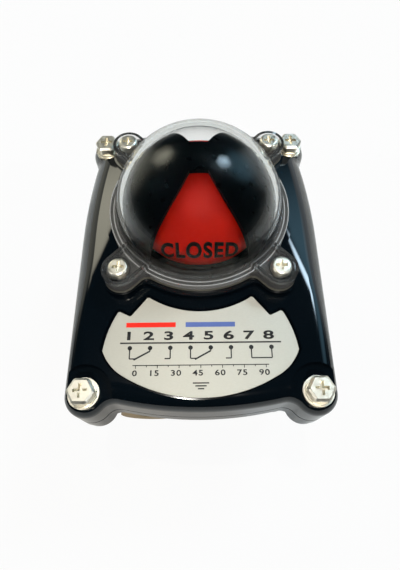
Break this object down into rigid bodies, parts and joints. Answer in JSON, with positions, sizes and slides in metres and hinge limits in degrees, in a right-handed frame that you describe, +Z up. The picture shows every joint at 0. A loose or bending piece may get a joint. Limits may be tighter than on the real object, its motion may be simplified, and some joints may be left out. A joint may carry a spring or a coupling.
{
  "type": "valve limit switch box",
  "caption": "Weatherproof box on a quarter-turn valve actuator: its shaft works microswitches through cams and turns a position indicator under a clear dome.",
  "frame": {"origin": "on the shaft's axis, in the mounting face under the base", "axes": "+Z up along the shaft towards the dome, -Y towards the nameplate and cable entries, +X to the right seen from the nameplate end"},
  "size_m": [0.088, 0.1165, 0.1022],
  "materials": {
    "black_enamel": "gloss black enamel on die-cast aluminium",
    "satin_plate": "satin silver nameplate",
    "bright_steel": "bright nickel-plated steel",
    "shaft_steel": "turned stainless steel",
    "clear_dome": "clear polycarbonate",
    "black_plastic": "black moulded plastic",
    "red_plastic": "red moulded plastic",
    "yellow_plastic": "yellow moulded plastic",
    "seal_rubber": "black nitrile rubber",
    "bronze": "sintered bronze",
    "brass": "plated brass",
    "spring_steel": "spring steel",
    "switch_plastic": "dark phenolic moulding",
    "white_plastic": "white nylon",
    "insulator_sheet": "brown insulating board",
    "lead_sleeve": "blue insulated lead"
  },
  "bodies": {
    "case": {"base_housing": "black_enamel", "cover": "black_enamel", "cover_gasket": "seal_rubber", "cover_screws": "bright_steel", "cover_washers": "bright_steel", "cover_spring_washers": "bright_steel", "nameplate": "satin_plate", "dome": "clear_dome", "dome_gasket": "seal_rubber", "dome_screws": "bright_steel", "indicator_mask": "black_plastic", "shaft_bush": "bronze", "upper_bush": "bronze", "thrust_washer": "bronze", "switch_bracket": "bright_steel", "bracket_screws": "bright_steel", "closed_switch_body": "switch_plastic", "open_switch_body": "switch_plastic", "lever_pins": "bright_steel", "switch_tabs": "brass", "switch_insulator": "insulator_sheet", "switch_screws": "bright_steel", "switch_nuts": "bright_steel", "terminal_strip": "switch_plastic", "terminal_bars": "brass", "terminal_screws": "bright_steel", "strip_screws": "bright_steel", "switch_leads": "lead_sleeve", "earth_screw": "brass", "blanking_plug": "brass", "plug_seal": "seal_rubber"},
    "shaft": {"shaft": "shaft_steel", "cam_hub": "white_plastic", "hub_pin": "spring_steel", "cam_snap_ring": "spring_steel", "cam_spring": "spring_steel", "shaft_o_rings": "seal_rubber", "shaft_clip": "spring_steel", "indicator_hub": "white_plastic", "indicator_screw": "bright_steel", "red_sectors": "red_plastic", "yellow_sectors": "yellow_plastic"},
    "closed_cam": {"closed_cam": "red_plastic"},
    "open_cam": {"open_cam": "yellow_plastic"},
    "closed_lever": {"closed_switch_lever": "spring_steel", "closed_roller_pin": "bright_steel"},
    "open_lever": {"open_switch_lever": "spring_steel", "open_roller_pin": "bright_steel"},
    "closed_roller": {"closed_switch_roller": "white_plastic"},
    "open_roller": {"open_switch_roller": "white_plastic"},
    "closed_plunger": {"closed_switch_plunger": "red_plastic"},
    "open_plunger": {"open_switch_plunger": "red_plastic"}
  },
  "joints": [
    {"name": "shaft_turn", "type": "hinge", "parent": "case", "child": "shaft", "pos_m": [0, 0, 0], "axis": [0, 0, 1], "range_deg": [0, 90]},
    {"name": "closed_cam_lift", "type": "slide", "parent": "shaft", "child": "closed_cam", "axis": [0, 0, 1], "range_m": [0, 0.0018], "stiffness_N_per_m": 600, "springref_m": -0.002, "deforming": ["cam_spring"]},
    {"name": "open_cam_lift", "type": "slide", "parent": "shaft", "child": "open_cam", "axis": [0, 0, -1], "range_m": [0, 0.0018], "stiffness_N_per_m": 600, "springref_m": -0.002, "deforming": ["cam_spring"]},
    {"name": "closed_lever_swing", "type": "hinge", "parent": "case", "child": "closed_lever", "pos_m": [-0.014, -0.0174, 0.023], "axis": [0, 0, 1], "range_deg": [0, 8.22]},
    {"name": "open_lever_swing", "type": "hinge", "parent": "case", "child": "open_lever", "pos_m": [-0.014, -0.0174, 0.0338], "axis": [0, 0, 1], "range_deg": [-8.22, 0]},
    {"name": "closed_roller_spin", "type": "hinge", "parent": "closed_lever", "child": "closed_roller", "pos_m": [0, -0.01435, 0.023], "axis": [0, 0, 1], "range_deg": [-410, 0]},
    {"name": "open_roller_spin", "type": "hinge", "parent": "open_lever", "child": "open_roller", "pos_m": [-0.00058, -0.01238, 0.0338], "axis": [0, 0, 1], "range_deg": [-410, 0]},
    {"name": "closed_plunger_stroke", "type": "slide", "parent": "case", "child": "closed_plunger", "axis": [0, 1, 0], "range_m": [0, 0.00087]},
    {"name": "open_plunger_stroke", "type": "slide", "parent": "case", "child": "open_plunger", "axis": [0, 1, 0], "range_m": [-0.00087, 0]}
  ],
  "couplings": [
    {"joint": "closed_lever_swing", "follows": "shaft_turn", "ratio": 0.091258},
    {"joint": "open_lever_swing", "follows": "shaft_turn", "ratio": -0.091258},
    {"joint": "closed_roller_spin", "follows": "shaft_turn", "ratio": -4.5},
    {"joint": "open_roller_spin", "follows": "shaft_turn", "ratio": -4.5},
    {"joint": "closed_plunger_stroke", "follows": "shaft_turn", "m_per_rad": 0.0005513},
    {"joint": "open_plunger_stroke", "follows": "shaft_turn", "m_per_rad": -0.0005513}
  ]
}
